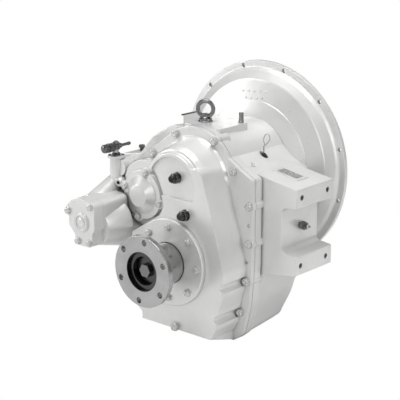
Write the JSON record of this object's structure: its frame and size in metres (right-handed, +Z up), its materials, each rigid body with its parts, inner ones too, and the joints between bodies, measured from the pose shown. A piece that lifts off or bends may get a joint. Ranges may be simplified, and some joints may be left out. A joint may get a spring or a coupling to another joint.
{
  "type": "marine gearbox",
  "caption": "Hydraulic marine reversing gearbox with engine bell, twin clutch shafts, gear pump, selector valve, side mounting brackets and a dropped output coupling.",
  "frame": {"origin": "centre of the engine-side flange face, on the input shaft's axis", "axes": "+Y towards the engine, +Z up, +X to the starboard mounting pad; the output coupling faces -Y"},
  "size_m": [0.6, 0.501, 0.6875],
  "materials": {
    "white_paint": "satin white paint over iron castings",
    "white_screws": "white paint over hex screws",
    "bright_steel": "machined steel",
    "gear_steel": "ground gear steel with oil film",
    "plate_steel": "flat blanked steel",
    "friction": "paper-based friction lining",
    "gasket": "gasket sheet",
    "seal_rubber": "oil seal rubber",
    "bronze": "bearing bronze",
    "black_fitting": "black oxide",
    "plated_steel": "bright plating",
    "plate_aluminium": "etched aluminium, bare",
    "zinc": "zinc plated steel"
  },
  "bodies": {
    "housing": {"main_housing": "white_paint", "cover_gasket": "gasket", "front_cover": "white_paint", "cover_bolts": "white_screws", "dowel_pins": "white_screws", "output_retainer": "white_paint", "retainer_bolts": "white_screws", "output_seal": "seal_rubber", "output_front_cup": "gear_steel", "output_rear_cup": "gear_steel", "clutch_bearing_outers": "gear_steel", "input_seal": "seal_rubber", "reverse_bearing_cap": "white_paint", "cap_bolts": "white_screws", "pump_adapter": "white_paint", "adapter_screws": "white_screws", "pump_body": "white_paint", "pump_cover": "white_paint", "pump_bolts": "white_screws", "valve_body": "white_paint", "valve_end_cap": "white_paint", "port_plugs": "black_fitting", "eye_bolt": "plated_steel", "breather": "plated_steel", "bracket_plug": "black_fitting", "temperature_sender": "zinc", "drain_plug": "white_screws", "data_plate": "plate_aluminium"},
    "input_shaft": {"forward_shaft": "gear_steel", "forward_bearing_inners": "gear_steel", "forward_drum": "gear_steel", "forward_transfer_gear": "gear_steel", "forward_steel_plates": "plate_steel"},
    "forward_pinion": {"forward_pinion": "gear_steel", "forward_pinion_bush": "bronze", "forward_friction_plates": "friction"},
    "forward_piston": {"forward_piston": "gear_steel"},
    "reverse_shaft": {"reverse_shaft": "gear_steel", "reverse_bearing_inners": "gear_steel", "reverse_drum": "gear_steel", "reverse_transfer_gear": "gear_steel", "reverse_steel_plates": "plate_steel"},
    "reverse_pinion": {"reverse_pinion": "gear_steel", "reverse_pinion_bush": "bronze", "reverse_friction_plates": "friction"},
    "reverse_piston": {"reverse_piston": "gear_steel"},
    "pump_drive": {"pump_drive_gear": "gear_steel", "pump_rotor": "gear_steel"},
    "pump_idler": {"pump_idler_rotor": "gear_steel"},
    "output_shaft": {"output_shaft": "gear_steel", "bull_gear": "gear_steel", "output_bearing_cones": "gear_steel", "output_flange": "bright_steel", "flange_washer": "bright_steel", "flange_bolt": "zinc"},
    "shift_lever": {"shift_stem": "plated_steel", "shift_lever": "plated_steel", "lever_nut": "black_fitting"},
    "dipstick": {"dipstick": "black_fitting"}
  },
  "joints": [
    {"name": "input_spin", "type": "hinge", "parent": "housing", "child": "input_shaft", "pos_m": [0, 0, 0], "axis": [0, 1, 0], "continuous": true},
    {"name": "reverse_spin", "type": "hinge", "parent": "housing", "child": "reverse_shaft", "pos_m": [-0.13514, 0, -0.05256], "axis": [0, 1, 0], "continuous": true},
    {"name": "pump_spin", "type": "hinge", "parent": "housing", "child": "pump_drive", "pos_m": [-0.23714, 0, -0.10566], "axis": [0, 1, 0], "continuous": true},
    {"name": "idler_spin", "type": "hinge", "parent": "housing", "child": "pump_idler", "pos_m": [-0.22486, 0, -0.14583], "axis": [0, 1, 0], "continuous": true},
    {"name": "output_spin", "type": "hinge", "parent": "housing", "child": "output_shaft", "pos_m": [0, 0, -0.2], "axis": [0, 1, 0], "continuous": true},
    {"name": "forward_pinion_spin", "type": "hinge", "parent": "housing", "child": "forward_pinion", "pos_m": [0, 0, 0], "axis": [0, 1, 0], "continuous": true},
    {"name": "reverse_pinion_spin", "type": "hinge", "parent": "housing", "child": "reverse_pinion", "pos_m": [-0.13514, 0, -0.05256], "axis": [0, 1, 0], "continuous": true},
    {"name": "forward_piston_slide", "type": "slide", "parent": "input_shaft", "child": "forward_piston", "axis": [0, 1, 0], "range_m": [0, 0.003]},
    {"name": "reverse_piston_slide", "type": "slide", "parent": "reverse_shaft", "child": "reverse_piston", "axis": [0, 1, 0], "range_m": [0, 0.003]},
    {"name": "shift_lever_turn", "type": "hinge", "parent": "housing", "child": "shift_lever", "pos_m": [-0.243, -0.335, 0.05], "axis": [0, 0, 1], "range_deg": [-30, 30]},
    {"name": "dipstick_lift", "type": "slide", "parent": "housing", "child": "dipstick", "axis": [0, 0, 1], "range_m": [0, 0.36]}
  ],
  "couplings": [
    {"joint": "reverse_spin", "follows": "input_spin", "ratio": -1},
    {"joint": "pump_spin", "follows": "input_spin", "ratio": 1.7059},
    {"joint": "idler_spin", "follows": "input_spin", "ratio": -1.7059},
    {"joint": "forward_pinion_spin", "follows": "output_spin", "ratio": -2.0769},
    {"joint": "reverse_pinion_spin", "follows": "output_spin", "ratio": -2.0769}
  ]
}
